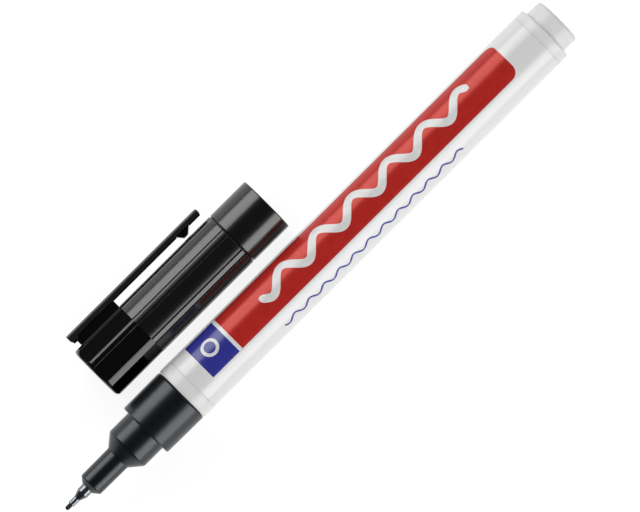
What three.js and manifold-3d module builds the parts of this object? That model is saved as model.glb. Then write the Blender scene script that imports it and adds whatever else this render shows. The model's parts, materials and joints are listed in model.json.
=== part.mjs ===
// A slim permanent marker with its cap taken off and laid beside it.
// Millimetres, +Z up. The pen lies along +X from its nib to its rear end. The cap lies on the
// pen's +Y side, pointing as it does on the pen, with its clip towards +Y.

import * as THREE from 'three';
import { mergeVertices } from 'three/addons/utils/BufferGeometryUtils.js';
import Module from 'manifold-3d';

const wasm = await Module();
wasm.setup();

// Nib and its metal point holder
const nibDiameter = 0.8;
const nibShown = 1.19;
const nibTipLength = 0.45;
const nibTipFlat = 0.24;
const nibInReservoir = 4.5;
const pointTubeDiameter = 1.22;
const pointTubeLength = 1.5;
const pointConeLength = 1.26;
const pointSleeveDiameter = 2.2;
const pointSleeveShown = 1.22;
const pointTailLength = 4.5;
const pointWall = 0.28;

// Nose moulding, from its slim front to the grip collar
const noseTipDiameter = 2.5;
const noseChamferLength = 0.87;
const slimNoseFrontDiameter = 4.64;
const slimNoseRearDiameter = 4.74;
const slimNoseLength = 6.57;
const noseConeLength = 2.25;
const shoulderDiameter = 8.5;
const shoulderLength = 4.46;
const collarFrontDiameter = 10.74;
const collarRearDiameter = 10.9;
const collarLength = 8.82;
const collarFrontRounding = 0.26;
const collarRearRounding = 0.4;
const spigotLength = 6;
const spigotWall = 1.1;
const inkGuideBore = 0.98;
const noseFunnelLength = 5;
const airSlotCount = 4;
const airSlotWidth = 1.4;
const airSlotDepth = 1.6;

// Barrel, its printed film and its rear plug
const barrelDiameter = 11;
const barrelWall = 0.9;
const barrelLength = 88.66;
const barrelFrontRounding = 0.15;
const barrelRearRounding = 0.32;
const labelThickness = 0.08;
const labelFromFront = 2.6;
const labelFromRear = 1.6;
const plugDiameter = 9;
const plugShown = 3.22;
const plugInBarrel = 7.5;
const plugWall = 0.95;
const plugEndWall = 1.2;
const plugRounding = 0.5;
const plugRibCount = 4;
const plugRibThickness = 0.9;
const plugRibHeight = 1.3;

// Ink reservoir
const reservoirDiameter = 8.3;
const reservoirFilmThickness = 0.15;

// Cap sleeve with its ribs, ring groove and mouth
const capDiameter = 10.88;
const capFluteCount = 7;
const crownLength = 11.14;
const ribbedLength = 21.88;
const ringGrooveWidth = 0.44;
const ringGrooveDepth = 0.2;
const mouthLength = 8.35;
const mouthRounding = 0.26;
const mouthLeadIn = 0.25;
const ribWidthDegrees = 13.4;
const ribEdgeGrooveWidth = 0.2;
const ribEdgeGrooveDepth = 0.1;
const plugPostingDepth = 3.75;
const sealSeatDepth = 7.9;
const sealSeatStep = 0.14;

// Cap crown: the closed end with its flats
const crownRounding = 0.95;
const crownFlatDepth = 0.3;
const crownEndWall = 1.3;
const crownSpigotLength = 5;
const crownSpigotWall = 0.9;

// Clip
const clipWidth = 3.4;
const clipThickness = 1.2;
const clipEdgeRounding = 0.45;
const clipGap = 1.45;
const clipFromCapEnd = 0.87;
const clipArmLength = 21.28;
const clipTipRounding = 0.3;
const clipHeelLength = 0.95;
const clipHeelDepth = 0.5;
const clipHeelSlant = 0.3;
const postWidth = 2.6;
const nubFromTip = 2.8;
const nubLength = 3.03;
const nubFlatLength = 0.95;
const nubRearRamp = 0.87;
const nubClearance = 0.38;
const nubWidth = 2.4;
const clipLeanDegrees = 3.8;

// Seal cup inside the cap
const sealCupWall = 0.6;
const sealFlangeThickness = 1.2;
const sealLandLength = 2.6;
const sealReliefDiameter = 5.2;
const nibAirSpace = 1.2;

// Clearances between pieces that are pushed together, and between faces that meet
const pressClearance = 0.025;
const slipClearance = 0.05;
const faceGap = 0.05;

// Where the cap lies beside the pen
const capBesidePen = 12.98;
const capEndFromNib = 20.06;

// Facets round a full turn: the pen's turned pieces share one count, the cap's another
const penSides = 48;
const fineSides = 24;
const capSides = 12 * capFluteCount;
const roundingSteps = 3;
const crownRoundingSteps = 4;

// Places along the pen, from the nib's tip
const pointStart = nibShown;
const pointShownLength = pointTubeLength + pointConeLength + pointSleeveShown;
const noseStart = pointStart + pointShownLength;
const slimNoseStart = noseChamferLength;
const coneStart = slimNoseStart + slimNoseLength;
const shoulderStart = coneStart + noseConeLength;
const collarStart = shoulderStart + shoulderLength;
const collarEnd = collarStart + collarLength;
const barrelStart = noseStart + collarEnd + faceGap;
const barrelEnd = barrelStart + barrelLength;
const plugStart = barrelEnd - plugInBarrel;
const penLength = barrelEnd + plugShown;

// Radii that follow from the fits
const barrelRadius = barrelDiameter / 2;
const barrelBoreRadius = barrelRadius - barrelWall;
const spigotRadius = barrelBoreRadius - pressClearance;
const plugRadius = Math.min(plugDiameter / 2, barrelBoreRadius - pressClearance);
const pointTailRadius = pointSleeveDiameter / 2;
const nibRadius = nibDiameter / 2;
const nibBoreRadius = nibRadius + pressClearance;
const capRadius = capDiameter / 2;
const capBoreRadius = shoulderDiameter / 2 + slipClearance;
const mouthBoreRadius = Math.max(plugRadius, capBoreRadius) + slipClearance;
const capRearBoreRadius = capBoreRadius + sealSeatStep;

// Places along the cap, from its closed end
const ribbedEnd = crownLength + ribbedLength;
const mouthStart = ribbedEnd + ringGrooveWidth;
const capLength = mouthStart + mouthLength;
const sealStart = capLength - sealSeatDepth - faceGap;
const clipTip = crownLength + clipArmLength;
const clipUnderside = capRadius + clipGap;
const clipOuter = clipUnderside + clipThickness;

// Local x of a turned or extruded shape becomes the part's Y, y becomes Z and z becomes X
const alongX = new THREE.Matrix4().makeBasis(
  new THREE.Vector3(0, 1, 0),
  new THREE.Vector3(0, 0, 1),
  new THREE.Vector3(1, 0, 0),
);
const spinAxisToX = new THREE.Matrix4().makeBasis(
  new THREE.Vector3(0, 0, 1),
  new THREE.Vector3(1, 0, 0),
  new THREE.Vector3(0, 1, 0),
);

// Points of a quarter of a circle in (x, radius), each end included
function rounding(centre, radius, fromDegrees, toDegrees, steps = roundingSteps) {
  const points = [];
  for (let step = 0; step <= steps; step += 1) {
    const angle = THREE.MathUtils.degToRad(
      fromDegrees + ((toDegrees - fromDegrees) * step) / steps,
    );
    points.push([centre[0] + radius * Math.cos(angle), centre[1] + radius * Math.sin(angle)]);
  }
  return points;
}

// Revolves (x, radius) points about the X axis. They run rearwards along the outside and back
// along the bore, or from the axis to the axis on a piece without one.
function turned(profile, sides) {
  const points = profile.map(([x, radius]) => new THREE.Vector2(radius, x));
  if (profile[0][1] > 0) points.push(points[0].clone());
  return new THREE.LatheGeometry(points, sides).applyMatrix4(spinAxisToX);
}

// Extrudes a (y, z) outline along X from one place to another
function prism(outline, fromX, toX) {
  const shape = new THREE.Shape(outline.map(([y, z]) => new THREE.Vector2(y, z)));
  const geometry = new THREE.ExtrudeGeometry(shape, { depth: toX - fromX, bevelEnabled: false });
  return geometry.applyMatrix4(alongX).translate(fromX, 0, 0);
}

// Extrudes an (x, y) side view through the given width, centred on Z = 0
function slab(sideView, width) {
  const shape = new THREE.Shape(sideView.map(([x, y]) => new THREE.Vector2(x, y)));
  const geometry = new THREE.ExtrudeGeometry(shape, { depth: width, bevelEnabled: false });
  return geometry.translate(0, 0, -width / 2);
}

function box(size, centre) {
  return new THREE.BoxGeometry(...size).translate(...centre);
}

// A closed geometry as a solid for joining and cutting
function solid(geometry) {
  const bare = geometry.clone();
  bare.deleteAttribute('normal');
  bare.deleteAttribute('uv');
  const merged = mergeVertices(bare, 1e-5);
  const corners = merged.index.array;
  const faces = [];
  for (let i = 0; i < corners.length; i += 3) {
    const [a, b, c] = [corners[i], corners[i + 1], corners[i + 2]];
    if (a !== b && b !== c && c !== a) faces.push(a, b, c);
  }
  const mesh = new wasm.Mesh({
    numProp: 3,
    vertProperties: new Float32Array(merged.attributes.position.array),
    triVerts: new Uint32Array(faces),
  });
  return new wasm.Manifold(mesh);
}

function geometryOf(manifold) {
  const mesh = manifold.getMesh();
  const geometry = new THREE.BufferGeometry();
  geometry.setAttribute('position', new THREE.BufferAttribute(mesh.vertProperties, 3));
  geometry.setIndex(new THREE.BufferAttribute(mesh.triVerts, 1));
  geometry.computeVertexNormals();
  return geometry;
}

function piece(name, geometry, material, x = 0) {
  const mesh = new THREE.Mesh(geometry, material);
  mesh.name = name;
  mesh.position.x = x;
  return mesh;
}

function finish(color, roughness, metalness = 0) {
  return new THREE.MeshStandardMaterial({ color, roughness, metalness });
}

// Nib: a round fibre rod with a bullet tip, as long as the way to its place in the reservoir
function nib(reservoirStart) {
  const length = reservoirStart + nibInReservoir;
  const tip = [];
  for (let step = 0; step <= roundingSteps; step += 1) {
    const turn = (Math.PI / 2) * (step / roundingSteps);
    const radius = nibTipFlat / 2 + (nibRadius - nibTipFlat / 2) * Math.sin(turn);
    tip.push([nibTipLength * (1 - Math.cos(turn)), radius]);
  }
  const geometry = turned([[0, 0], ...tip, [length, nibRadius], [length, 0]], fineSides);
  return piece('nib', geometry, finish(0x141518, 0.85));
}

// Drawn metal point holder: thin tube, cone and sleeve, with a tail inside the nose
function nibFerrule() {
  const coneFront = pointTubeLength;
  const coneRear = coneFront + pointConeLength;
  const end = pointShownLength + pointTailLength;
  const tubeRadius = pointTubeDiameter / 2;
  const geometry = turned([
    [0, nibBoreRadius],
    [0, tubeRadius - 0.08],
    [0.08, tubeRadius],
    [coneFront, tubeRadius],
    [coneRear, pointTailRadius],
    [end, pointTailRadius],
    [end, pointTailRadius - pointWall],
    [coneRear + pointWall, pointTailRadius - pointWall],
    [coneFront + pointWall, nibBoreRadius],
  ], fineSides);
  return piece('nib_ferrule', geometry, finish(0xb9bdc4, 0.25, 1), pointStart);
}

// Nose moulding: one turned shell from the slim nose to the spigot, with air slots in its rear
function noseSection() {
  const slimFront = slimNoseFrontDiameter / 2;
  const slimRear = slimNoseRearDiameter / 2;
  const shoulder = shoulderDiameter / 2;
  const collarFront = collarFrontDiameter / 2;
  const collarRear = collarRearDiameter / 2;
  const spigotEnd = collarEnd + spigotLength;
  const chamberRadius = spigotRadius - spigotWall;
  const funnelEnd = collarStart + noseFunnelLength;
  const tailEnd = pointTailLength + faceGap;
  const shell = turned([
    [0, pointTailRadius + pressClearance],
    [0, noseTipDiameter / 2],
    [slimNoseStart, slimFront],
    [coneStart, slimRear],
    [shoulderStart, shoulder],
    [collarStart, shoulder],
    [collarStart, collarFront - collarFrontRounding],
    ...rounding(
      [collarStart + collarFrontRounding, collarFront - collarFrontRounding],
      collarFrontRounding, 180, 90,
    ).slice(1),
    ...rounding([collarEnd - collarRearRounding, collarRear - collarRearRounding],
      collarRearRounding, 90, 0),
    [collarEnd, spigotRadius],
    [spigotEnd - 0.4, spigotRadius],
    [spigotEnd, spigotRadius - 0.25],
    [spigotEnd, chamberRadius],
    [funnelEnd, chamberRadius],
    [collarStart, inkGuideBore / 2],
    [tailEnd, inkGuideBore / 2],
    [tailEnd, pointTailRadius + pressClearance],
  ], penSides);
  let body = solid(shell);
  for (let slot = 0; slot < airSlotCount; slot += 1) {
    const turn = (2 * Math.PI * (slot + 0.5)) / airSlotCount;
    const size = [2 * airSlotDepth, 2 * spigotWall + 2, airSlotWidth];
    const cutter = box(size, [spigotEnd, spigotRadius - spigotWall / 2, 0]).rotateX(turn);
    body = body.subtract(solid(cutter));
  }
  return piece('nose_section', geometryOf(body), finish(0x222326, 0.42), noseStart);
}

// Barrel: a plain tube, turned down under the label so that the film lies flush
function barrel() {
  const recess = barrelRadius - labelThickness - pressClearance;
  const labelEnd = barrelLength - labelFromRear;
  const geometry = turned([
    [0, barrelBoreRadius],
    [0, barrelRadius - barrelFrontRounding],
    [barrelFrontRounding, barrelRadius],
    [labelFromFront, barrelRadius],
    [labelFromFront, recess],
    [labelEnd, recess],
    [labelEnd, barrelRadius],
    ...rounding([barrelLength - barrelRearRounding, barrelRadius - barrelRearRounding],
      barrelRearRounding, 90, 0),
    [barrelLength, barrelBoreRadius],
  ], penSides);
  return piece('barrel', geometry, finish(0xe4e5e3, 0.38), barrelStart);
}

function barrelLabel() {
  const length = barrelLength - labelFromFront - labelFromRear - 2 * pressClearance;
  const inner = barrelRadius - labelThickness;
  const geometry = turned([
    [0, inner],
    [0, barrelRadius],
    [length, barrelRadius],
    [length, inner],
  ], penSides);
  const x = barrelStart + labelFromFront + pressClearance;
  return piece('barrel_label', geometry, finish(0xf4f4f3, 0.3), x);
}

// End plug: a hollow stopper with short ribs inside that hold the reservoir off its end wall
function endPlug() {
  const length = plugInBarrel + plugShown;
  const inner = plugRadius - plugWall;
  const shell = turned([
    [0, inner],
    [0, plugRadius - 0.3],
    [0.5, plugRadius],
    ...rounding([length - plugRounding, plugRadius - plugRounding], plugRounding, 90, 0),
    [length, 0],
    [length - plugEndWall, 0],
    [length - plugEndWall, inner],
  ], penSides);
  let body = solid(shell);
  for (let rib = 0; rib < plugRibCount; rib += 1) {
    const turn = (2 * Math.PI * rib) / plugRibCount;
    const depth = length - plugEndWall / 2;
    const size = [depth, plugRibHeight + plugWall / 2, plugRibThickness];
    const middle = inner + plugWall / 2 - size[1] / 2;
    body = body.add(solid(box(size, [depth / 2, middle, 0]).rotateX(turn)));
  }
  return piece('end_plug', geometryOf(body), finish(0xdcdedb, 0.4), plugStart);
}

// Reservoir: the ink-soaked rod with a blind bore for the nib, and the film round it
function reservoir(start, length) {
  const radius = reservoirDiameter / 2;
  const boreDepth = nibInReservoir + faceGap;
  const rod = turned([
    [0, nibBoreRadius],
    [0, radius],
    [length, radius],
    [length, 0],
    [boreDepth, 0],
    [boreDepth, nibBoreRadius],
  ], penSides);
  const inner = radius + pressClearance;
  const film = turned([
    [0, inner],
    [0, inner + reservoirFilmThickness],
    [length, inner + reservoirFilmThickness],
    [length, inner],
  ], penSides);
  return [
    piece('reservoir_fibre', rod, finish(0x1d1f26, 0.95), start),
    piece('reservoir_film', film, finish(0xd5dade, 0.2), start),
  ];
}

// Outline of the ribbed sleeve: a circle on which each rib lies between two fine grooves
function ribbedOutline() {
  const points = [];
  const put = (degrees, radius) => {
    const angle = THREE.MathUtils.degToRad(degrees);
    points.push([radius * Math.cos(angle), radius * Math.sin(angle)]);
  };
  const pitch = 360 / capFluteCount;
  const groove = THREE.MathUtils.radToDeg(ribEdgeGrooveWidth / capRadius);
  const field = pitch - ribWidthDegrees - 2 * groove;
  const fieldSteps = 6;
  for (let flute = 0; flute < capFluteCount; flute += 1) {
    const start = pitch * flute - field / 2;
    for (let step = 0; step <= fieldSteps; step += 1) {
      put(start + (field * step) / fieldSteps, capRadius);
    }
    const ribStart = start + field + groove;
    put(ribStart - groove / 2, capRadius - ribEdgeGrooveDepth);
    put(ribStart, capRadius);
    put(ribStart + ribWidthDegrees / 2, capRadius);
    put(ribStart + ribWidthDegrees, capRadius);
    put(ribStart + ribWidthDegrees + groove / 2, capRadius - ribEdgeGrooveDepth);
  }
  return points;
}

// Cap sleeve: the ribbed length, the ring groove and the plain mouth, with a stepped bore
function capSleeve() {
  const front = crownLength + faceGap;
  const grooveRadius = capRadius - ringGrooveDepth;
  const overlap = 2;
  const mouth = turned([
    [ribbedEnd - overlap, 0],
    [ribbedEnd - overlap, grooveRadius],
    [ribbedEnd + ringGrooveWidth / 2, grooveRadius],
    [mouthStart, capRadius],
    ...rounding([capLength - mouthRounding, capRadius - mouthRounding], mouthRounding, 90, 0),
    [capLength, 0],
  ], capSides);
  const sealSeat = capLength - sealSeatDepth;
  const bore = turned([
    [front - 1, 0],
    [front - 1, capRearBoreRadius],
    [sealSeat, capRearBoreRadius],
    [sealSeat, capBoreRadius],
    [capLength - plugPostingDepth, capBoreRadius],
    [capLength - plugPostingDepth, mouthBoreRadius],
    [capLength - mouthLeadIn, mouthBoreRadius],
    [capLength + 1, mouthBoreRadius + mouthLeadIn + 1],
    [capLength + 1, 0],
  ], capSides);
  const body = solid(prism(ribbedOutline(), front, ribbedEnd)).add(solid(mouth));
  const material = finish(0x1b1c1e, 0.36);
  return piece('cap_sleeve', geometryOf(body.subtract(solid(bore))), material);
}

// The clip's cross-section in (y, z): flat below, with its two outer edges rounded
function clipSection() {
  const half = clipWidth / 2;
  const inset = half - clipEdgeRounding;
  const top = clipOuter - clipEdgeRounding;
  return [
    [clipUnderside - clipHeelDepth - 1, half],
    [clipUnderside - clipHeelDepth - 1, -half],
    ...rounding([top, -inset], clipEdgeRounding, -90, 0),
    ...rounding([top, inset], clipEdgeRounding, 0, 90),
  ];
}

// Cap crown: a turned closed end with flats, hollow from behind, and the block under the clip
function capCrown() {
  const spigot = capRearBoreRadius - pressClearance;
  const end = crownLength + crownSpigotLength;
  const blank = turned([
    [0, 0],
    [0, capRadius - crownRounding],
    ...rounding([crownRounding, capRadius - crownRounding], crownRounding, 180, 90,
      crownRoundingSteps).slice(1),
    [crownLength, capRadius],
    [crownLength, spigot],
    [end - 0.4, spigot],
    [end, spigot - 0.25],
    [end, 0],
  ], capSides);
  let body = solid(blank);
  const cutDepth = 2;
  const flat = capRadius - crownFlatDepth;
  for (let flute = 0; flute < capFluteCount; flute += 1) {
    const turn = (2 * Math.PI * flute) / capFluteCount;
    const size = [crownLength + 1, cutDepth, capDiameter];
    const centre = [crownLength - size[0] / 2, flat + cutDepth / 2, 0];
    body = body.subtract(solid(box(size, centre).rotateX(turn)));
  }
  const heelStart = clipFromCapEnd + clipHeelSlant;
  const heelEnd = clipFromCapEnd + clipHeelLength;
  const heelBottom = clipUnderside - clipHeelDepth;
  const barSide = [
    [clipFromCapEnd, clipOuter],
    [clipFromCapEnd, clipUnderside],
    [heelStart, heelBottom],
    [heelEnd + clipHeelDepth, heelBottom],
    [heelEnd + 2 * clipHeelDepth, clipUnderside],
    [crownLength, clipUnderside],
    [crownLength, clipOuter],
  ];
  const section = solid(prism(clipSection(), 0, crownLength + 1));
  const bar = solid(slab(barSide, clipWidth + 1)).intersect(section);
  const postHeight = clipOuter - clipThickness / 2 - flat + 1;
  const postSize = [crownLength - heelEnd, postHeight, postWidth];
  const postCentre = [(crownLength + heelEnd) / 2, flat - 1 + postHeight / 2, 0];
  const cavity = turned([
    [crownEndWall, 0],
    [crownEndWall, spigot - crownSpigotWall],
    [end + 1, spigot - crownSpigotWall],
    [end + 1, 0],
  ], capSides);
  body = body.add(solid(box(postSize, postCentre))).add(bar).subtract(solid(cavity));
  return piece('cap_crown', geometryOf(body), finish(0x0e0f11, 0.2));
}

// Clip arm: the free length of the clip, with its rounded tip and its nub
function clipArm() {
  const start = crownLength + faceGap;
  const barSide = [
    [start, clipUnderside],
    ...rounding([clipTip - clipTipRounding, clipUnderside + clipTipRounding],
      clipTipRounding, -90, 0),
    ...rounding([clipTip - clipTipRounding, clipOuter - clipTipRounding],
      clipTipRounding, 0, 90),
    [start, clipOuter],
  ];
  const nubEnd = clipTip - nubFromTip;
  const nubStart = nubEnd - nubLength;
  const nubBottom = capRadius + nubClearance;
  const nubTop = clipUnderside + clipThickness / 2;
  const nubSide = [
    [nubStart, nubTop],
    [nubStart, clipUnderside],
    [nubStart + nubRearRamp, nubBottom],
    [nubStart + nubRearRamp + nubFlatLength, nubBottom],
    [nubEnd, clipUnderside],
    [nubEnd, nubTop],
  ];
  const section = solid(prism(clipSection(), 0, clipTip + 1));
  const bar = solid(slab(barSide, clipWidth + 1)).intersect(section);
  const body = bar.add(solid(slab(nubSide, nubWidth)));
  return piece('clip_arm', geometryOf(body), finish(0x0e0f11, 0.2));
}

// Seal cup: closes round the slim nose inside the cap, with room for the nib
function innerSealCup() {
  const land = slimNoseRearDiameter / 2 + slipClearance;
  const relief = sealReliefDiameter / 2;
  const outer = relief + sealCupWall;
  const flange = capRearBoreRadius - pressClearance;
  const nibReach = shoulderLength + noseConeLength + slimNoseLength + noseChamferLength
    + pointShownLength + nibShown;
  const depth = nibReach + nibAirSpace - sealSeatDepth;
  const closedStart = sealStart - depth - sealCupWall;
  const geometry = turned([
    [0, 0],
    [0, outer - 0.4],
    [0.4, outer],
    [sealStart - sealFlangeThickness - closedStart, outer],
    [sealStart - sealFlangeThickness - closedStart, flange],
    [sealStart - closedStart, flange],
    [sealStart - closedStart, land],
    [sealStart - sealLandLength - closedStart, land],
    [sealStart - sealLandLength - closedStart, relief],
    [sealCupWall, relief],
    [sealCupWall, 0],
  ], penSides);
  return piece('inner_seal_cup', geometry, finish(0x2b2c2f, 0.5), closedStart);
}

const spigotRear = noseStart + collarEnd + spigotLength;
const reservoirStart = spigotRear + faceGap;
const reservoirLength = plugStart - faceGap - reservoirStart;

const pen = new THREE.Group();
pen.position.z = barrelRadius;
pen.add(
  nib(reservoirStart),
  nibFerrule(),
  noseSection(),
  barrel(),
  barrelLabel(),
  endPlug(),
  ...reservoir(reservoirStart, reservoirLength),
);

const cap = new THREE.Group();
cap.position.set(capEndFromNib, capBesidePen, capRadius);
cap.rotation.x = -THREE.MathUtils.degToRad(clipLeanDegrees);
cap.add(capSleeve(), capCrown(), clipArm(), innerSealCup());

// The origin is under the middle of the whole object, on the surface that it lies on
const marker = new THREE.Group();
marker.add(pen, cap);
const extent = new THREE.Box3().setFromObject(marker, true);
const middle = extent.getCenter(new THREE.Vector3());
marker.position.set(-middle.x, -middle.y, -extent.min.z);

export default marker;
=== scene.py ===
"""The looks of a slim permanent marker and its taken-off cap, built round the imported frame."""

import functools
import json
import math

import bmesh
import bpy
from mathutils import Matrix, Vector


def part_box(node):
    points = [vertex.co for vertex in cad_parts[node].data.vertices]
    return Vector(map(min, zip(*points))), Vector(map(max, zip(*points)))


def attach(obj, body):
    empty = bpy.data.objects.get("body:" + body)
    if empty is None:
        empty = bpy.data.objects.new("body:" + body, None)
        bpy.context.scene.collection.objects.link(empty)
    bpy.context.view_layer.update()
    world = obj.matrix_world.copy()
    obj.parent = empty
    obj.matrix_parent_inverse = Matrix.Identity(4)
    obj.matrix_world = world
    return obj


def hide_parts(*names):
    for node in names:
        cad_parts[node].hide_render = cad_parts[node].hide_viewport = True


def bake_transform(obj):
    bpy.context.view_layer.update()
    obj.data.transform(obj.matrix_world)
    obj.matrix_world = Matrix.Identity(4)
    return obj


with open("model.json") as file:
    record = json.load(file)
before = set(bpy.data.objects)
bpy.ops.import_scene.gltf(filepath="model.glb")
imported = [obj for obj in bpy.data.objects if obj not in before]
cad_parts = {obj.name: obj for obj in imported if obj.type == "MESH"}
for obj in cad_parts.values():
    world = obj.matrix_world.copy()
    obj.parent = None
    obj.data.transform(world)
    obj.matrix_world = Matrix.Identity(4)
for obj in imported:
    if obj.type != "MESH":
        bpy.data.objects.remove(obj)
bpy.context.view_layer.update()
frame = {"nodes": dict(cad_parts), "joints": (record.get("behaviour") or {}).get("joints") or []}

MM = 0.001
FINE_SIDES = 192
SMALL_SIDES = 96
SHARP_ANGLE = math.radians(32)
BEVEL_ANGLE = math.radians(25)
# A corner's rounding takes at most this share of each edge beside it
ROUNDING_SHARE = 0.49
X = Vector((1, 0, 0))
Y = Vector((0, 1, 0))

# Camera: nearly straight above the pen's front third, far away, rolled so that the pen rises
CAMERA_DISTANCE = 1460 * MM
FRAME_WIDTH_AT_OBJECT = 110.73 * MM
SENSOR_WIDTH = 36.0
CAMERA_OVER_X = -34.5 * MM
CAMERA_TARGET = Vector((1.97, -7.72, 5.5)) * MM
CAMERA_ROLL = math.radians(44.84)

# Floor, and upright soft lights on three sides: bottom, top and radiance of each
FLOOR_SIZE = 12.0
FLOOR_COLOR = (0.25, 0.25, 0.25)
FLOOR_GLOW = 0.89
SKY = 0.06
LIGHT_DISTANCE = 0.4
LIGHT_LENGTH = 0.4
LEFT_LIGHT = (0.07, 0.5, 4.1)
RIGHT_LIGHT = (0.03, 0.38, 4.2)
END_LIGHT = (0.03, 0.3, 0.6)

# Nose profile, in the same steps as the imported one
NOSE_TIP_DIAMETER = 2.5 * MM
NOSE_CHAMFER = 0.87 * MM
SLIM_NOSE_FRONT_DIAMETER = 4.64 * MM
SLIM_NOSE_REAR_DIAMETER = 4.74 * MM
SLIM_NOSE_LENGTH = 6.57 * MM
NOSE_CONE_LENGTH = 2.25 * MM
SHOULDER_DIAMETER = 8.5 * MM
SHOULDER_LENGTH = 4.46 * MM
COLLAR_FRONT_DIAMETER = 10.74 * MM
COLLAR_REAR_DIAMETER = 10.9 * MM
COLLAR_LENGTH = 8.82 * MM
HOLDER_SEAT_DEPTH = 4.55 * MM
HOLDER_CLEARANCE = 0.025 * MM
NIB_CHANNEL_RADIUS = 0.49 * MM
SPIGOT_WALL = 1.1 * MM
CHAMBER_FROM_COLLAR = 5 * MM

# Barrel, label and plug. The label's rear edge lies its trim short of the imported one
BARREL_WALL = 0.9 * MM
LABEL_THICKNESS = 0.08 * MM
LABEL_RECESS_DEPTH = 0.105 * MM
LABEL_CLEARANCE = 0.025 * MM
LABEL_REAR_TRIM = 0.42 * MM
PLUG_WALL = 0.95 * MM
PLUG_END_THICKNESS = 1.2 * MM

# Point holder and nib
POINT_TUBE_DIAMETER = 1.22 * MM
POINT_TUBE_LENGTH = 1.5 * MM
POINT_CONE_LENGTH = 1.26 * MM
POINT_WALL = 0.28 * MM
NIB_CLEARANCE = 0.025 * MM
NIB_TIP_LENGTH = 0.45 * MM
NIB_TIP_FLAT = 0.24 * MM

# Cap
FLUTES = 7
CROWN_LENGTH = 11.14 * MM
CROWN_ROUNDING = 1.0 * MM
CROWN_FLAT_DEPTH = 0.3 * MM
CROWN_EDGE_EASE = 0.03 * MM
CROWN_STEP = 0.05 * MM
CROWN_JOINT_GAP = 0.004 * MM
CROWN_WALL = 0.9 * MM
CROWN_END_THICKNESS = 1.3 * MM
# Half the least angle that a flat takes up, and how a flat's edge runs down to it
LEAST_FLAT_ANGLE = 0.03
FLAT_EDGE_RUN = 1.3
RIBBED_LENGTH = 21.88 * MM
RING_GROOVE_WIDTH = 0.44 * MM
RING_GROOVE_DEPTH = 0.2 * MM
RIB_WIDTH = math.radians(10)
RIB_EDGE_WIDTH = 0.3 * MM
RIB_EDGE_DEPTH = 0.125 * MM
# Across a rib's edge groove, from its steep side to the rib: share of its width, share of depth
GROOVE_SECTION = ((0.02, 0.1), (0.06, 0.95), (0.12, 1.0), (0.5, 0.57), (0.9, 0.11), (0.97, 0.03))
MOUTH_BORE_DIAMETER = 9.1 * MM
MOUTH_BORE_DEPTH = 3.75 * MM
CAP_BORE_DIAMETER = 8.6 * MM
REAR_BORE_STEP = 0.14 * MM
PRESS_FIT_STEP = 0.115 * MM
SEAL_SEAT_DEPTH = 7.9 * MM
SEAL_LAND_DIAMETER = 4.84 * MM
SEAL_LAND_LENGTH = 2.6 * MM
SEAL_RELIEF_DIAMETER = 5.2 * MM
SEAL_FLANGE_THICKNESS = 1.2 * MM
SEAL_CUP_WALL = 0.6 * MM

# Clip
CLIP_WIDTH = 3.4 * MM
CLIP_THICKNESS = 1.2 * MM
CLIP_OUTER_ROUNDING = 0.45 * MM
CLIP_LOWER_ROUNDING = 0.12 * MM
CLIP_FROM_CAP_END = 0.87 * MM
CLIP_HEEL_LENGTH = 0.95 * MM
CLIP_HEEL_DEPTH = 0.5 * MM
CLIP_HEEL_SLANT = 0.3 * MM
CLIP_TIP_EASE = 0.34 * MM
POST_WIDTH = 2.6 * MM
POST_SINK = 0.5 * MM
POST_EASE = 0.12 * MM
NUB_FROM_TIP = 2.8 * MM
NUB_LENGTH = 3.03 * MM
NUB_FLAT_LENGTH = 0.95 * MM
NUB_REAR_RAMP = 0.87 * MM
NUB_CLEARANCE = 0.38 * MM
NUB_WIDTH = 2.4 * MM
NUB_EDGE_EASE = 0.06 * MM

# Print on the label: places along the pen from its nib, and angles from straight up
INK_HEIGHT = 0.01 * MM
PRINT_FROM_ANGLE = math.radians(-69.5)
PRINT_TO_ANGLE = math.radians(19)
BLOCK_FROM = 34.07 * MM
BLOCK_TO = 40.5 * MM
PANEL_FROM = 41.2 * MM
PANEL_TO = 108.6 * MM
PANEL_CORNER = 1.8 * MM
RING_DIAMETER = 3.4 * MM
RING_WIDTH = 0.6 * MM
WAVE_INSET = 8 * MM
WAVE_SWING = 1.5 * MM
WAVE_LENGTH = 8.6 * MM
WAVE_WIDTH = 1.5 * MM
THIN_WAVE_REAR_INSET = 16 * MM
THIN_WAVE_ANGLE = math.radians(48)
THIN_WAVE_SWING = 0.5 * MM
THIN_WAVE_LENGTH = 3.6 * MM
THIN_WAVE_WIDTH = 0.4 * MM

# Textures, in turns per metre
CLOUD_TURNS = 180
GLOSS_TURNS = 900
GRAIN_TURNS = 4200
GLOSS_DRIFT = 0.04


class Axis:
    """A line along +X with the two directions, out and side, that its angles run between."""

    def __init__(self, y, z, out, side):
        self.y = y
        self.z = z
        self.out = Vector(out)
        self.side = Vector(side)

    def towards(self, angle):
        return math.cos(angle) * self.out + math.sin(angle) * self.side

    def at(self, x, radius, angle):
        """A point x along the axis and a radius away from it, in the angle's direction."""
        return Vector((x, self.y, self.z)) + radius * self.towards(angle)

    def place(self, x, out, side):
        """A point x along the axis, out and side of it."""
        return Vector((x, self.y, self.z)) + out * self.out + side * self.side


def node_axis(node, out, side):
    low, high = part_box(node)
    return Axis((low.y + high.y) / 2, (low.z + high.z) / 2, out, side)


def joint(name):
    return next(j for j in frame["joints"] if j["name"] == name)


hinge = Vector(joint("clip_flex")["pos_m"])
clip_side = Vector(joint("clip_flex")["axis"]).normalized()
pen_axis = node_axis("barrel", (0, 0, 1), (0, -1, 0))
cap_axis = node_axis("cap_sleeve", clip_side.cross(X), clip_side)
clip_outer = (hinge - Vector((0, cap_axis.y, cap_axis.z))).dot(cap_axis.out)


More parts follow.
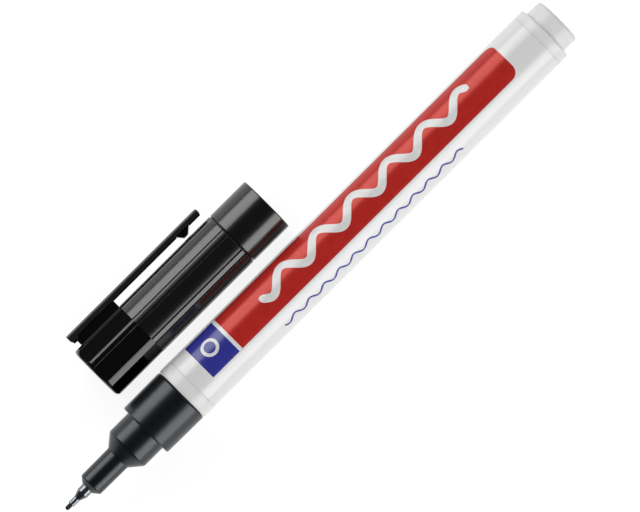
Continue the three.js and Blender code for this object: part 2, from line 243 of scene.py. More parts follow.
def mesh_object(name, points, faces):
    """A closed mesh with its faces turned outwards, smooth but for its real edges."""
    mesh = bpy.data.meshes.new(name)
    mesh.from_pydata([tuple(p) for p in points], [], faces)
    work = bmesh.new()
    work.from_mesh(mesh)
    bmesh.ops.remove_doubles(work, verts=work.verts, dist=1e-8)
    bmesh.ops.recalc_face_normals(work, faces=work.faces)
    work.to_mesh(mesh)
    work.free()
    mesh.polygons.foreach_set("use_smooth", [True] * len(mesh.polygons))
    mesh.set_sharp_from_angle(angle=SHARP_ANGLE)
    piece = bpy.data.objects.new(name, mesh)
    bpy.context.scene.collection.objects.link(piece)
    return piece


def loft(name, rings, closed=False):
    """A mesh through rings of points. A ring of one point is a pole."""
    points, starts, faces = [], [], []
    for ring in rings:
        starts.append(len(points))
        points.extend(ring)
    pairs = [(i, i + 1) for i in range(len(rings) - 1)]
    if closed:
        pairs.append((len(rings) - 1, 0))
    for a, b in pairs:
        count = max(len(rings[a]), len(rings[b]))
        for i in range(count):
            j = (i + 1) % count
            if len(rings[a]) == 1:
                faces.append((starts[a], starts[b] + j, starts[b] + i))
            elif len(rings[b]) == 1:
                faces.append((starts[a] + i, starts[a] + j, starts[b]))
            else:
                faces.append((starts[a] + i, starts[a] + j, starts[b] + j, starts[b] + i))
    return mesh_object(name, points, faces)


def curve(start, corner, finish, t):
    """The point t of the way along a corner's rounding."""
    return start * (1 - t) ** 2 + corner * 2 * t * (1 - t) + finish * t * t


def eased(corners, closed=True, steps=6):
    """(x, radius, ease) corners as (x, radius) points, each corner rounded over its ease."""
    points = []
    for i, (x, radius, ease) in enumerate(corners):
        end = not closed and i in (0, len(corners) - 1)
        if ease == 0 or end:
            points.append((x, radius))
            continue
        here = Vector((x, radius))
        before = Vector(corners[i - 1][:2]) - here
        after = Vector(corners[(i + 1) % len(corners)][:2]) - here
        start = here + before.normalized() * min(ease, ROUNDING_SHARE * before.length)
        finish = here + after.normalized() * min(ease, ROUNDING_SHARE * after.length)
        for step in range(steps + 1):
            point = curve(start, here, finish, step / steps)
            points.append((point.x, point.y))
    return points


def revolve(name, axis, profile, closed=True, sides=FINE_SIDES):
    """Turns (x, radius) points about the axis. A radius of 0 is a pole."""
    rings = []
    for x, radius in profile:
        if radius < 1e-9:
            rings.append([axis.at(x, 0, 0)])
        else:
            rings.append([axis.at(x, radius, 2 * math.pi * i / sides) for i in range(sides)])
    return loft(name, rings, closed)


def bevelled(piece, width):
    """Rounds a plain piece's edges and keeps the result in its mesh."""
    bevel = piece.modifiers.new("edges", "BEVEL")
    bevel.width = width
    bevel.segments = 3
    bevel.limit_method = "ANGLE"
    bevel.angle_limit = BEVEL_ANGLE
    bevel.use_clamp_overlap = True
    graph = bpy.context.evaluated_depsgraph_get()
    mesh = bpy.data.meshes.new_from_object(piece.evaluated_get(graph))
    piece.modifiers.clear()
    piece.data = mesh
    mesh.polygons.foreach_set("use_smooth", [True] * len(mesh.polygons))
    mesh.set_sharp_from_angle(angle=SHARP_ANGLE)
    return piece


# Materials

def material(name, color, roughness, metallic=0.0):
    made = bpy.data.materials.new(name)
    made.use_nodes = True
    shader = made.node_tree.nodes["Principled BSDF"]
    shader.inputs["Base Color"].default_value = (*color, 1)
    shader.inputs["Roughness"].default_value = roughness
    shader.inputs["Metallic"].default_value = metallic
    return made, shader


def noise(made, scale, stretch=(1, 1, 1), detail=3.0):
    """Noise on the object's own coordinates, in turns per metre, as its output socket."""
    tree = made.node_tree
    where = tree.nodes.new("ShaderNodeTexCoord")
    mapping = tree.nodes.new("ShaderNodeMapping")
    mapping.inputs["Scale"].default_value = stretch
    texture = tree.nodes.new("ShaderNodeTexNoise")
    texture.inputs["Scale"].default_value = scale
    texture.inputs["Detail"].default_value = detail
    tree.links.new(where.outputs["Object"], mapping.inputs["Vector"])
    tree.links.new(mapping.outputs["Vector"], texture.inputs["Vector"])
    return texture.outputs["Fac"]


def spread(made, source, low, high):
    """The noise's middle range stretched to run from low to high."""
    node = made.node_tree.nodes.new("ShaderNodeMapRange")
    node.inputs["From Min"].default_value = 0.3
    node.inputs["From Max"].default_value = 0.7
    node.inputs["To Min"].default_value = low
    node.inputs["To Max"].default_value = high
    made.node_tree.links.new(source, node.inputs["Value"])
    return node.outputs["Result"]


def tinted(made, shader, source, dark, light):
    """Base colour that drifts between two close colours."""
    mix = made.node_tree.nodes.new("ShaderNodeMix")
    mix.data_type = "RGBA"
    mix.inputs["A"].default_value = (*dark, 1)
    mix.inputs["B"].default_value = (*light, 1)
    made.node_tree.links.new(source, mix.inputs["Factor"])
    made.node_tree.links.new(mix.outputs["Result"], shader.inputs["Base Color"])


def roughened(made, shader, source, low, high):
    """Gloss that drifts between two close values."""
    made.node_tree.links.new(spread(made, source, low, high), shader.inputs["Roughness"])


def bumped(made, shader, source, height):
    bump = made.node_tree.nodes.new("ShaderNodeBump")
    bump.inputs["Distance"].default_value = height
    made.node_tree.links.new(source, bump.inputs["Height"])
    made.node_tree.links.new(bump.outputs["Normal"], shader.inputs["Normal"])


def glossed(shader, specular, sheen):
    """Sets how strongly the surface mirrors, and the tint of what it mirrors."""
    shader.inputs["Specular IOR Level"].default_value = specular
    shader.inputs["Specular Tint"].default_value = (*sheen, 1)


def moulded(name, color, roughness, grain=0.0015 * MM, drift=0.12, specular=0.5,
            sheen=(1, 1, 1)):
    """Moulded plastic: colour and gloss drift a little, over a very fine skin texture."""
    made, shader = material(name, color, roughness)
    glossed(shader, specular, sheen)
    dark = [c * (1 - drift) for c in color]
    light = [c * (1 + drift) for c in color]
    tinted(made, shader, spread(made, noise(made, CLOUD_TURNS), 0, 1), dark, light)
    gloss = noise(made, GLOSS_TURNS)
    roughened(made, shader, gloss, roughness * (1 - GLOSS_DRIFT), roughness * (1 + GLOSS_DRIFT))
    bumped(made, shader, noise(made, GRAIN_TURNS, detail=2.0), grain)
    return made


def milky(name, color, roughness, depth):
    """Natural translucent plastic: light goes a little way in and comes out again."""
    made = moulded(name, color, roughness, grain=0.0006 * MM, drift=0.02)
    shader = made.node_tree.nodes["Principled BSDF"]
    shader.inputs["Subsurface Weight"].default_value = 0.55
    shader.inputs["Subsurface Radius"].default_value = (1.0, 1.0, 0.98)
    shader.inputs["Subsurface Scale"].default_value = depth
    return made


@functools.cache
def steel():
    """Drawn metal, with fine lines across its length."""
    made, shader = material("drawn_steel", (0.17, 0.178, 0.2), 0.28, metallic=1.0)
    lines = noise(made, 260, stretch=(9, 1, 1))
    tinted(made, shader, spread(made, lines, 0, 1), (0.15, 0.157, 0.178), (0.19, 0.198, 0.222))
    roughened(made, shader, noise(made, 1500, stretch=(4, 1, 1)), 0.2, 0.32)
    bumped(made, shader, noise(made, 2600, stretch=(6, 1, 1)), 0.002 * MM)
    return made


def fibre(name, color, light):
    """Fibres packed along the pen's length."""
    made, shader = material(name, color, 0.8)
    strands = noise(made, 9000, stretch=(0.06, 1, 1), detail=2.0)
    tinted(made, shader, spread(made, strands, 0, 1), color, light)
    bumped(made, shader, strands, 0.03 * MM)
    return made


def ink(name, color, specular=0.5, sheen=(1, 1, 1)):
    """Printed ink: one colour with the faint unevenness of a screen print."""
    made, shader = material(name, color, 0.24)
    glossed(shader, specular, sheen)
    light = [c * 1.06 for c in color]
    dark = [c * 0.94 for c in color]
    tinted(made, shader, spread(made, noise(made, 700), 0, 1), dark, light)
    roughened(made, shader, noise(made, 2200), 0.23, 0.25)
    return made


@functools.cache
def clear_film():
    """The thin clear wrap of the ink reservoir."""
    made, shader = material("clear_film", (0.72, 0.75, 0.78), 0.15)
    tinted(made, shader, spread(made, noise(made, 500), 0, 1),
           (0.70, 0.73, 0.76), (0.75, 0.78, 0.80))
    shader.inputs["Alpha"].default_value = 0.35
    return made


@functools.cache
def nose_black():
    """Satin black of the nose, its sheen leaning a little to blue."""
    return moulded("nose_black", (0.003, 0.0046, 0.0068), 0.3, specular=0.52,
                   sheen=(0.9, 0.94, 1.0))


@functools.cache
def cap_black():
    return moulded("cap_black", (0.0032, 0.0032, 0.0034), 0.22, specular=0.7)


@functools.cache
def crown_black():
    """The cap's closed end is glossier than its sleeve."""
    return moulded("crown_gloss_black", (0.001, 0.0012, 0.0018), 0.08, grain=0.0005 * MM)


@functools.cache
def clip_black():
    return moulded("clip_black", (0.0155, 0.0155, 0.016), 0.2)


@functools.cache
def clip_painted_shade():
    """The clip's inner face, turned to the cap: a darker black that mirrors nothing, as painted
    shade under the clip.
    """
    return moulded("clip_underside_painted_shade", (0.0035, 0.0035, 0.0037), 0.6, specular=0.0)


@functools.cache
def seal_dark():
    return moulded("seal_dark", (0.02, 0.02, 0.022), 0.5)


@functools.cache
def barrel_milky():
    return milky("barrel_translucent", (0.893, 0.89, 0.887), 0.3, 1.0 * MM)


@functools.cache
def plug_milky():
    return milky("plug_translucent", (0.893, 0.89, 0.887), 0.4, 1.6 * MM)


@functools.cache
def label_white():
    """Smooth printed film."""
    return moulded("label_white", (0.88, 0.88, 0.875), 0.25, grain=0.0002 * MM, drift=0.012,
                   specular=0.75)


@functools.cache
def nib_fibre():
    return fibre("nib_fibre", (0.006, 0.006, 0.008), (0.02, 0.02, 0.026))


@functools.cache
def soaked_fibre():
    return fibre("reservoir_fibre", (0.012, 0.012, 0.02), (0.03, 0.03, 0.045))


@functools.cache
def red_ink():
    """Its sheen takes the ink's own colour."""
    return ink("ink_red", (0.535, 0.026, 0.021), specular=0.95, sheen=(1.0, 0.29, 0.25))


@functools.cache
def blue_ink():
    return ink("ink_blue", (0.036, 0.04, 0.33))


@functools.cache
def white_ink():
    return ink("ink_white", (0.86, 0.86, 0.85))


def dress(piece, finish, body, slot, *nodes):
    """Gives a piece its material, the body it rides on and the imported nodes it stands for."""
    piece.data.materials.clear()
    piece.data.materials.append(finish)
    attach(piece, body)
    if nodes:
        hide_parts(*nodes)


# Pen

def radius_of(node):
    low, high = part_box(node)
    return (high.z - low.z) / 2


def make_nib():
    low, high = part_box("nib")
    radius = radius_of("nib")
    steps = 14
    profile = [(low.x, 0)]
    for step in range(steps + 1):
        turn = math.pi / 2 * step / steps
        x = low.x + NIB_TIP_LENGTH * (1 - math.cos(turn))
        profile.append((x, NIB_TIP_FLAT / 2 + (radius - NIB_TIP_FLAT / 2) * math.sin(turn)))
    profile += [(high.x, radius), (high.x, 0)]
    piece = revolve("nib_point", pen_axis, profile, closed=False, sides=SMALL_SIDES)
    dress(piece, nib_fibre(), "pen", "nib_fibre", "nib")


def make_ferrule():
    low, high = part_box("nib_ferrule")
    bore = radius_of("nib") + NIB_CLEARANCE
    tube = POINT_TUBE_DIAMETER / 2
    sleeve = radius_of("nib_ferrule")
    cone_from = low.x + POINT_TUBE_LENGTH
    cone_to = cone_from + POINT_CONE_LENGTH
    profile = eased([
        (low.x, bore, 0),
        (low.x, tube, 0.09 * MM),
        (cone_from, tube, 0.12 * MM),
        (cone_to, sleeve, 0.16 * MM),
        (high.x, sleeve, 0.1 * MM),
        (high.x, sleeve - POINT_WALL, 0),
        (cone_to + POINT_WALL, sleeve - POINT_WALL, 0),
        (cone_from + POINT_WALL, bore, 0),
    ])
    piece = revolve("point_holder", pen_axis, profile, sides=SMALL_SIDES)
    dress(piece, steel(), "pen", "ferrule_metal", "nib_ferrule")


def make_nose():
    low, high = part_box("nose_section")
    x1 = low.x + NOSE_CHAMFER
    x2 = x1 + SLIM_NOSE_LENGTH
    x3 = x2 + NOSE_CONE_LENGTH
    x4 = x3 + SHOULDER_LENGTH
    x5 = x4 + COLLAR_LENGTH
    seat = radius_of("nib_ferrule") + HOLDER_CLEARANCE
    seat_end = low.x + HOLDER_SEAT_DEPTH
    spigot = radius_of("end_plug")
    chamber = spigot - SPIGOT_WALL
    profile = eased([
        (low.x, seat, 0),
        (low.x, NOSE_TIP_DIAMETER / 2, 0.08 * MM),
        (x1, SLIM_NOSE_FRONT_DIAMETER / 2, 0.18 * MM),
        (x2, SLIM_NOSE_REAR_DIAMETER / 2, 0.16 * MM),
        (x3, SHOULDER_DIAMETER / 2, 0.3 * MM),
        (x4, SHOULDER_DIAMETER / 2, 0.1 * MM),
        (x4, COLLAR_FRONT_DIAMETER / 2, 0.34 * MM),
        (x5, COLLAR_REAR_DIAMETER / 2, 0.52 * MM),
        (x5, spigot, 0.05 * MM),
        (high.x, spigot, 0.25 * MM),
        (high.x, chamber, 0.1 * MM),
        (x4 + CHAMBER_FROM_COLLAR, chamber, 0),
        (x4, NIB_CHANNEL_RADIUS, 0),
        (seat_end, NIB_CHANNEL_RADIUS, 0),
        (seat_end, seat, 0),
    ])
    piece = revolve("nose", pen_axis, profile)
    dress(piece, nose_black(), "pen", "nose_black", "nose_section")


def make_barrel():
    low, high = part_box("barrel")
    label_low, label_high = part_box("barrel_label")
    radius = radius_of("barrel")
    bore = radius - BARREL_WALL
    recess = radius - LABEL_RECESS_DEPTH
    recess_from = label_low.x - LABEL_CLEARANCE
    recess_to = label_high.x - LABEL_REAR_TRIM + LABEL_CLEARANCE
    profile = eased([
        (low.x, bore, 0),
        (low.x, radius, 0.16 * MM),
        (recess_from, radius, 0.02 * MM),
        (recess_from, recess, 0),
        (recess_to, recess, 0),
        (recess_to, radius, 0.02 * MM),
        (high.x, radius, 0.36 * MM),
        (high.x, bore, 0.08 * MM),
    ])
    piece = revolve("barrel_tube", pen_axis, profile)
    dress(piece, barrel_milky(), "pen", "barrel_translucent", "barrel")


def make_label():
    low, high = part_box("barrel_label")
    radius = radius_of("barrel_label")
    inner = radius - LABEL_THICKNESS
    rear = high.x - LABEL_REAR_TRIM
    profile = eased([
        (low.x, inner, 0),
        (low.x, radius, 0.02 * MM),
        (rear, radius, 0.02 * MM),
        (rear, inner, 0),
    ], steps=3)
    piece = revolve("label_film", pen_axis, profile)
    dress(piece, label_white(), "pen", "label_white", "barrel_label")


def make_plug():
    low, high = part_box("end_plug")
    radius = radius_of("end_plug")
    inner = radius - PLUG_WALL
    profile = eased([
        (low.x, inner, 0),
        (low.x, radius, 0.3 * MM),
        (high.x, radius, 0.6 * MM),
        (high.x, 0, 0),
        (high.x - PLUG_END_THICKNESS, 0, 0),
        (high.x - PLUG_END_THICKNESS, inner, 0),
    ])
    piece = revolve("rear_plug", pen_axis, profile)
    dress(piece, plug_milky(), "pen", "plug_translucent", "end_plug")


# Print on the label

def ink_patch(name, grid, finish, layer=0):
    """A thin closed layer of ink on the label. The grid's rows hold (x, arc length) points.

    Layer 0 is printed on the label, and each next one on the ink of the one before."""
    radius = radius_of("barrel_label")
    nib_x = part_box("nib")[0].x
    rows, columns = len(grid), len(grid[0])
    points = []
    for lift in (INK_HEIGHT * (layer + 1), INK_HEIGHT * (layer - 0.5)):
        for row in grid:
            points += [pen_axis.at(nib_x + x, radius + lift, arc / radius) for x, arc in row]
    under = rows * columns

    def index(i, j, base=0):
        return base + i * columns + j

    faces = []
    for i in range(rows - 1):
        for j in range(columns - 1):
            top = (index(i, j), index(i, j + 1), index(i + 1, j + 1), index(i + 1, j))
            faces.append(top)
            faces.append(tuple(under + k for k in reversed(top)))
    rim = [(0, j) for j in range(columns)]
    rim += [(i, columns - 1) for i in range(1, rows)]
    rim += [(rows - 1, j) for j in range(columns - 2, -1, -1)]
    rim += [(i, 0) for i in range(rows - 2, 0, -1)]
    for k, (i, j) in enumerate(rim):
        i2, j2 = rim[(k + 1) % len(rim)]
        faces.append((index(i, j), index(i2, j2), index(i2, j2, under), index(i, j, under)))
    dress(mesh_object(name, points, faces), finish, "pen", "label_white")


def rounded_panel(name, x_from, x_to, rear_corner, finish):
    """A printed panel between two angles, with its two rear corners rounded."""
    radius = radius_of("barrel_label")
    arc_from, arc_to = PRINT_FROM_ANGLE * radius, PRINT_TO_ANGLE * radius
    stations = [(x_from, 0.0), (x_to - rear_corner, 0.0)]
    steps = 16
    for step in range(1, steps + 1):
        turn = math.pi / 2 * step / steps
        stations.append((x_to - rear_corner * (1 - math.sin(turn)),
                         rear_corner * (1 - math.cos(turn))))
    columns = 40
    grid = []
    for x, inset in stations:
        low, high = arc_from + inset, arc_to - inset
        grid.append([(x, low + (high - low) * j / columns) for j in range(columns + 1)])
    ink_patch(name, grid, finish)


def printed_line(name, x_from, x_to, arc, swing, wave, width, layer, finish):
    """A printed wavy line: a plain sample stroke with rounded ends."""
    steps = int((x_to - x_from) / wave * 36)
    across = 4
    grid = []
    for step in range(steps + 1):
        x = x_from + (x_to - x_from) * step / steps
        turn = 2 * math.pi * (x - x_from) / wave
        centre = Vector((x, arc + swing * math.sin(turn)))
        slope = swing * 2 * math.pi / wave * math.cos(turn)
        normal = Vector((-slope, 1)).normalized()
        from_end = min(x - x_from, x_to - x, width / 2) / (width / 2)
        half = width / 2 * math.sqrt(max(1 - (1 - from_end) ** 2, 0.02))
        row = [centre + normal * half * (2 * j / across - 1) for j in range(across + 1)]
        grid.append([(p.x, p.y) for p in row])
    ink_patch(name, grid, finish, layer)


def printed_dot(name, x, arc, diameter, layer, finish):
    """A printed disc, as a square grid squeezed into a circle."""
    count = 16
    grid = []
    for i in range(count + 1):
        row = []
        for j in range(count + 1):
            a, b = 2 * i / count - 1, 2 * j / count - 1
            along = a * math.sqrt(1 - b * b / 2)
            across = b * math.sqrt(1 - a * a / 2)
            row.append((x + along * diameter / 2, arc + across * diameter / 2))
        grid.append(row)
    ink_patch(name, grid, finish, layer)


def make_print():
    radius = radius_of("barrel_label")
    middle = (PRINT_FROM_ANGLE + PRINT_TO_ANGLE) / 2 * radius
    block_middle = (BLOCK_FROM + BLOCK_TO) / 2
    wave_from = PANEL_FROM + WAVE_INSET
    rounded_panel("print_block", BLOCK_FROM, BLOCK_TO, 0.02 * MM, blue_ink())
    rounded_panel("print_panel", PANEL_FROM, PANEL_TO, PANEL_CORNER, red_ink())
    printed_dot("print_ring", block_middle, middle, RING_DIAMETER, 1, white_ink())
    printed_dot("print_ring_middle", block_middle, middle, RING_DIAMETER - 2 * RING_WIDTH, 2,
                blue_ink())
    printed_line("print_wave", wave_from, PANEL_TO - WAVE_INSET, middle,
                 WAVE_SWING, WAVE_LENGTH, WAVE_WIDTH, 1, white_ink())
    printed_line("print_thin_wave", wave_from, PANEL_TO - THIN_WAVE_REAR_INSET,
                 THIN_WAVE_ANGLE * radius, THIN_WAVE_SWING, THIN_WAVE_LENGTH, THIN_WAVE_WIDTH,
                 0, blue_ink())


# Cap

def cap_end():
    """Where the cap's closed end lies."""
    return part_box("cap_crown")[0].x


def sector_angles():
    """Angles round the ribbed sleeve with the groove depth at each, one sector after another."""
    radius = radius_of("cap_sleeve")
    groove = RIB_EDGE_WIDTH / radius
    pitch = 2 * math.pi / FLUTES
    field = pitch - RIB_WIDTH - 2 * groove
    field_steps, rib_steps = 18, 6
    around = []
    for flute in range(FLUTES):
        start = pitch * flute - field / 2
        around += [(start + field * k / field_steps, 0) for k in range(field_steps + 1)]
        groove_start = start + field
        around += [(groove_start + groove * share, depth) for share, depth in GROOVE_SECTION]
        rib = groove_start + groove
        around += [(rib + RIB_WIDTH * k / rib_steps, 0) for k in range(rib_steps + 1)]
        groove_end = rib + RIB_WIDTH + groove
        mirrored = reversed(GROOVE_SECTION)
        around += [(groove_end - groove * share, depth) for share, depth in mirrored]
    return around


def make_cap_sleeve():
    end = cap_end()
    low, mouth = (corner.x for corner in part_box("cap_sleeve"))
    radius = radius_of("cap_sleeve")
    around = sector_angles()
    ribbed_end = end + CROWN_LENGTH + RIBBED_LENGTH
    groove = radius - RING_GROOVE_DEPTH
    mouth_start = ribbed_end + RING_GROOVE_WIDTH
    groove_middle = (ribbed_end + mouth_start) / 2
    wide = MOUTH_BORE_DIAMETER / 2
    bore = CAP_BORE_DIAMETER / 2
    rear_bore = bore + REAR_BORE_STEP
    seat = mouth - SEAL_SEAT_DEPTH

    def ring(x, r, depth=0):
        return [cap_axis.at(x, r - depth * share, angle) for angle, share in around]

    outside = eased([
        (low, radius - 0.3 * MM, 0),
        (low, radius, 0.025 * MM),
        (ribbed_end, radius, 0.08 * MM),
        (groove_middle, groove, 0.04 * MM),
    ], closed=False, steps=4)
    rings = [ring(*outside[0])]
    rings += [ring(x, r, RIB_EDGE_DEPTH) for x, r in outside[1:-1]]
    rings.append(ring(*outside[-1]))
    rest = eased([
        (groove_middle, groove, 0),
        (mouth_start, radius, 0.08 * MM),
        (mouth, radius, 0.28 * MM),
        (mouth, wide, 0.26 * MM),
        (mouth - MOUTH_BORE_DEPTH, wide, 0.05 * MM),
        (mouth - MOUTH_BORE_DEPTH, bore, 0.12 * MM),
        (seat, bore, 0.05 * MM),
        (seat, rear_bore, 0),
        (low, rear_bore, 0),
    ], closed=False)
    rings += [ring(x, r) for x, r in rest[1:]]
    piece = loft("cap_tube", rings, closed=True)
    dress(piece, cap_black(), "cap", "cap_black", "cap_sleeve")


def crown_ring(x, radius, flat):
    """One section of the fluted crown: arcs and flats, each flat a shallow step below its arcs."""
    pitch = 2 * math.pi / FLUTES
    half = math.acos(min(flat / radius, math.cos(LEAST_FLAT_ANGLE)))
    flat_steps, arc_steps, ease_steps = 8, 6, 4
    ease = min(CROWN_EDGE_EASE, 0.3 * radius * half)
    drop = ease + min(CROWN_STEP, 0.2 * max(radius - flat, 0))
    arc_ease = ease / radius
    points = []
    for flute in range(FLUTES):
        middle = pitch * flute
        arc_from = middle + half + arc_ease
        arc_to = middle + pitch - half - arc_ease
        before = cap_axis.at(x, radius, middle - half - arc_ease)
        corner_in = cap_axis.at(x, radius, middle - half)
        corner_out = cap_axis.at(x, radius, middle + half)
        after = cap_axis.at(x, radius, arc_from)
        along = (corner_out - corner_in).normalized()
        inwards = -cap_axis.towards(middle)
        step_from = corner_in + (inwards + along).normalized() * ease
        step_to = corner_out + (inwards - along).normalized() * ease
        flat_from = corner_in + (inwards + along * FLAT_EDGE_RUN) * drop
        flat_to = corner_out + (inwards - along * FLAT_EDGE_RUN) * drop
        points += [curve(before, corner_in, step_from, k / ease_steps) for k in range(ease_steps)]
        points.append(step_from)
        points += [flat_from.lerp(flat_to, k / flat_steps) for k in range(flat_steps)]
        points.append(flat_to)
        points += [curve(step_to, corner_out, after, k / ease_steps) for k in range(ease_steps)]
        points += [cap_axis.at(x, radius, arc_from + (arc_to - arc_from) * k / arc_steps)
                   for k in range(arc_steps)]
    return points


def make_cap_crown():
    end = cap_end()
    spigot_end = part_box("cap_crown")[1].x
    radius = radius_of("cap_sleeve")
    flat = radius - CROWN_FLAT_DEPTH
    spigot = CAP_BORE_DIAMETER / 2 + PRESS_FIT_STEP
    hollow = spigot - CROWN_WALL
    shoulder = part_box("cap_sleeve")[0].x - CROWN_JOINT_GAP
    profile = eased([
        (end, 0, 0),
        (end, radius, CROWN_ROUNDING),
        (shoulder, radius, 0.025 * MM),
        (shoulder, spigot, 0.02 * MM),
        (spigot_end, spigot, 0.3 * MM),
        (spigot_end, hollow, 0),
        (end + CROWN_END_THICKNESS, hollow, 0),
        (end + CROWN_END_THICKNESS, 0, 0),
    ], closed=False, steps=8)
    rings = []
    for x, r in profile:
        rings.append([cap_axis.at(x, 0, 0)] if r < 1e-9 else crown_ring(x, r, flat))
    piece = loft("crown", rings)
    dress(piece, crown_black(), "cap", "crown_gloss_black", "cap_crown")


def make_clip_post():
    end = cap_end()
    radius = radius_of("cap_sleeve")
    x_from = end + CLIP_FROM_CAP_END + CLIP_HEEL_LENGTH
    x_to = end + CROWN_LENGTH
    bottom = radius - CROWN_FLAT_DEPTH - POST_SINK
    top = clip_outer - CLIP_THICKNESS / 2
    half = POST_WIDTH / 2
    corners = [(x_from, -half), (x_to, -half), (x_to, half), (x_from, half)]
    rings = [[cap_axis.place(x, out, side) for x, side in corners] for out in (bottom, top)]
    floor = [cap_axis.place((x_from + x_to) / 2, bottom, 0)]
    lid = [cap_axis.place((x_from + x_to) / 2, top, 0)]
    piece = bevelled(loft("clip_post", [floor, *rings, lid]), POST_EASE)
    dress(piece, crown_black(), "cap", "crown_gloss_black")


def clip_section(x, bottom, top, half, crown):
    """One section across the clip's bar, rounded a little below and more on its outer face."""
    lower = min(CLIP_LOWER_ROUNDING, (top - bottom) * 0.4)
    steps = 8
    points = []
    for out, side, radius, start in ((bottom + lower, half - lower, lower, 180),
                                     (top - crown, half - crown, crown, 90),
                                     (top - crown, crown - half, crown, 0),
                                     (bottom + lower, lower - half, lower, -90)):
        for step in range(steps + 1):
            turn = math.radians(start - 90 * step / steps)
            points.append((out + radius * math.cos(turn), side + radius * math.sin(turn)))
    return [cap_axis.place(x, out, side) for out, side in points]


def make_clip():
    end = cap_end()
    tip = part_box("clip_arm")[1].x
    underside = clip_outer - CLIP_THICKNESS
    half = CLIP_WIDTH / 2
    start = end + CLIP_FROM_CAP_END
    heel = start + CLIP_HEEL_SLANT
    heel_end = start + CLIP_HEEL_LENGTH
    heel_bottom = underside - CLIP_HEEL_DEPTH
    # Place along the cap, underside, outer face and half width
    stations = [
        (start, underside + 0.1 * MM, clip_outer - 0.1 * MM, half - 0.12 * MM),
        (start + 0.04 * MM, underside + 0.02 * MM, clip_outer - 0.03 * MM, half - 0.03 * MM),
        (start + 0.12 * MM, underside - 0.12 * MM, clip_outer, half),
        (heel, heel_bottom + 0.06 * MM, clip_outer, half),
        (heel + 0.1 * MM, heel_bottom, clip_outer, half),
        (heel_end + CLIP_HEEL_DEPTH, heel_bottom, clip_outer, half),
        (heel_end + 2 * CLIP_HEEL_DEPTH, underside, clip_outer, half),
    ]
    straight_from = stations[-1][0]
    straight_to = tip - CLIP_TIP_EASE
    steps = 60
    for step in range(1, steps + 1):
        x = straight_from + (straight_to - straight_from) * step / steps
        stations.append((x, underside, clip_outer, half))
    tip_steps = 8
    for step in range(1, tip_steps + 1):
        turn = math.pi / 2 * step / tip_steps
        inset = CLIP_TIP_EASE * (1 - math.cos(turn))
        stations.append((straight_to + CLIP_TIP_EASE * math.sin(turn), underside + inset,
                         clip_outer - inset, half - inset))
    rings = [clip_section(x, low, high, wide, min(CLIP_OUTER_ROUNDING, (high - low) * 0.45))
             for x, low, high, wide in stations]
    first = sum(rings[0], Vector()) / len(rings[0])
    last = sum(rings[-1], Vector()) / len(rings[-1])
    piece = loft("clip_bar", [[first], *rings, [last]])
    piece.data.materials.append(clip_black())
    piece.data.materials.append(clip_painted_shade())
    # Faces turned to the cap take the darker black that mirrors nothing: painted shade under the
    # clip
    for face in piece.data.polygons:
        face.material_index = 1 if face.normal.dot(cap_axis.out) < -0.8 else 0
    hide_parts("clip_arm")
    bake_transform(piece)


def make_nub():
    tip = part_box("clip_arm")[1].x
    radius = radius_of("cap_sleeve")
    underside = clip_outer - CLIP_THICKNESS
    bottom = radius + NUB_CLEARANCE
    nub_end = tip - NUB_FROM_TIP
    nub_start = nub_end - NUB_LENGTH
    flat_from = nub_start + NUB_REAR_RAMP
    inside = underside + CLIP_THICKNESS / 3
    half = NUB_WIDTH / 2
    outline = eased([
        (nub_start, inside, 0),
        (nub_start, underside, 0.02 * MM),
        (flat_from, bottom, 0.22 * MM),
        (flat_from + NUB_FLAT_LENGTH, bottom, 0.3 * MM),
        (nub_end, underside, 0.02 * MM),
        (nub_end, inside, 0),
    ], steps=5)
    # Distance from a side face, and how much the outline shrinks there
    one_side = ((0, 0.975), (NUB_EDGE_EASE * 0.3, 0.992), (NUB_EDGE_EASE, 1.0))
    sections = [(inset - half, shrink) for inset, shrink in one_side]
    sections += [(half - inset, shrink) for inset, shrink in reversed(one_side)]
    middle = Vector(((nub_start + nub_end) / 2, inside))
    rings = []
    for side, shrink in sections:
        ring = [middle + (Vector(p) - middle) * shrink for p in outline]
        rings.append([cap_axis.place(p.x, p.y, side) for p in ring])
    poles = [[cap_axis.place(middle.x, middle.y - 0.2 * MM, side)] for side in (-half, half)]
    piece = loft("clip_nub", [poles[0], *rings, poles[1]])
    dress(piece, crown_black(), "clip", "crown_gloss_black")


def make_seal_cup():
    low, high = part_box("inner_seal_cup")
    land = SEAL_LAND_DIAMETER / 2
    relief = SEAL_RELIEF_DIAMETER / 2
    outer = relief + SEAL_CUP_WALL
    flange = CAP_BORE_DIAMETER / 2 + PRESS_FIT_STEP
    profile = eased([
        (low.x, 0, 0),
        (low.x, outer, 0.4 * MM),
        (high.x - SEAL_FLANGE_THICKNESS, outer, 0.2 * MM),
        (high.x - SEAL_FLANGE_THICKNESS, flange, 0.05 * MM),
        (high.x, flange, 0.1 * MM),
        (high.x, land, 0.5 * MM),
        (high.x - SEAL_LAND_LENGTH, land, 0.1 * MM),
        (high.x - SEAL_LAND_LENGTH, relief, 0.1 * MM),
        (low.x + SEAL_CUP_WALL, relief, 0.3 * MM),
        (low.x + SEAL_CUP_WALL, 0, 0),
    ], closed=False)
    piece = revolve("seal_cup", cap_axis, profile, closed=False, sides=SMALL_SIDES)
    dress(piece, seal_dark(), "cap", "seal_dark", "inner_seal_cup")


def dress_reservoir():
    """The reservoir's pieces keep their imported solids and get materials."""
    for node, finish in (("reservoir_fibre", soaked_fibre()), ("reservoir_film", clear_film())):
        kept = frame["nodes"][node]
        kept.data.materials.clear()
        kept.data.materials.append(finish)


# Floor, light and camera

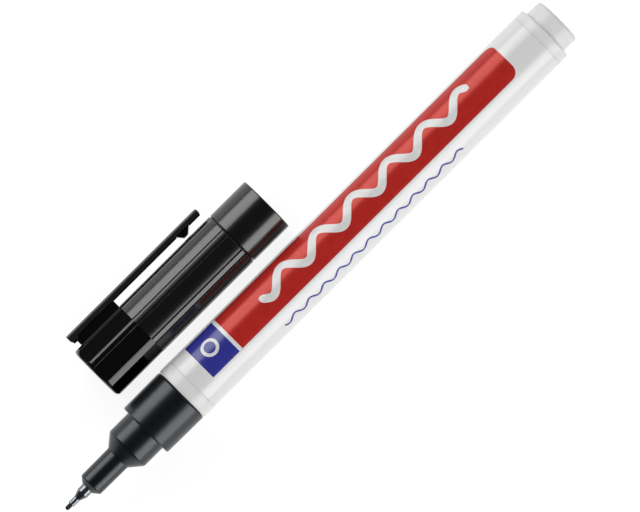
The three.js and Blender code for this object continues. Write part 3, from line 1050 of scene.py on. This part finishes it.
def make_floor():
    mesh = bpy.data.meshes.new("floor")
    half = FLOOR_SIZE / 2
    mesh.from_pydata([(-half, -half, 0), (half, -half, 0), (half, half, 0), (-half, half, 0)],
                     [], [(0, 1, 2, 3)])
    floor = bpy.data.objects.new("floor", mesh)
    bpy.context.scene.collection.objects.link(floor)
    made, shader = material("floor_white", FLOOR_COLOR, 0.9)
    shader.inputs["Specular IOR Level"].default_value = 0.1
    tree = made.node_tree
    path = tree.nodes.new("ShaderNodeLightPath")
    seen = path.outputs["Is Camera Ray"]
    for other in ("Is Glossy Ray", "Is Transmission Ray"):
        either = tree.nodes.new("ShaderNodeMath")
        either.operation = "MAXIMUM"
        tree.links.new(seen, either.inputs[0])
        tree.links.new(path.outputs[other], either.inputs[1])
        seen = either.outputs["Value"]
    glow = tree.nodes.new("ShaderNodeMath")
    glow.operation = "MULTIPLY"
    glow.inputs[1].default_value = FLOOR_GLOW
    tree.links.new(seen, glow.inputs[0])
    shader.inputs["Emission Color"].default_value = (1, 1, 1, 1)
    tree.links.new(glow.outputs["Value"], shader.inputs["Emission Strength"])
    mesh.materials.append(made)


def softbox(name, side, bottom, top, radiance):
    """An upright rectangular lamp on one side of the object, facing it."""
    lamp = bpy.data.lights.new(name, "AREA")
    lamp.shape = "RECTANGLE"
    lamp.size = LIGHT_LENGTH
    lamp.size_y = top - bottom
    lamp.energy = radiance * math.pi * lamp.size * lamp.size_y
    holder = bpy.data.objects.new(name, lamp)
    bpy.context.scene.collection.objects.link(holder)
    up = Vector((0, 0, 1))
    turn = Matrix((up.cross(side), up, side)).transposed().to_4x4()
    centre = side * LIGHT_DISTANCE + up * (bottom + top) / 2
    holder.matrix_world = Matrix.Translation(centre) @ turn
    holder.visible_camera = False


def make_light():
    world = bpy.data.worlds.new("studio")
    bpy.context.scene.world = world
    world.use_nodes = True
    sky = world.node_tree.nodes["Background"]
    sky.inputs["Color"].default_value = (1, 1, 1, 1)
    sky.inputs["Strength"].default_value = SKY
    softbox("left_light", Y, *LEFT_LIGHT)
    softbox("right_light", -Y, *RIGHT_LIGHT)
    softbox("end_light", X, *END_LIGHT)


def make_camera():
    camera = bpy.data.objects.new("camera", bpy.data.cameras.new("camera"))
    bpy.context.scene.collection.objects.link(camera)
    camera.data.sensor_width = SENSOR_WIDTH
    camera.data.lens = SENSOR_WIDTH * CAMERA_DISTANCE / FRAME_WIDTH_AT_OBJECT
    camera.data.clip_start = 0.05
    camera.data.clip_end = 50
    lean = math.atan2(CAMERA_OVER_X, CAMERA_DISTANCE)
    back = Vector((math.sin(lean), 0, math.cos(lean)))
    right = Vector((math.cos(CAMERA_ROLL), -math.sin(CAMERA_ROLL), 0))
    right = (right - back * right.dot(back)).normalized()
    up = back.cross(right)
    turn = Matrix((right, up, back)).transposed().to_4x4()
    camera.matrix_world = Matrix.Translation(CAMERA_TARGET + back * CAMERA_DISTANCE) @ turn
    bpy.context.scene.camera = camera


make_camera()
make_nib()
make_ferrule()
make_nose()
make_barrel()
make_label()
make_plug()
make_print()
make_cap_sleeve()
make_cap_crown()
make_clip_post()
make_clip()
make_nub()
make_seal_cup()
dress_reservoir()
make_floor()
make_light()

scene = bpy.context.scene
scene.view_settings.view_transform = "Standard"
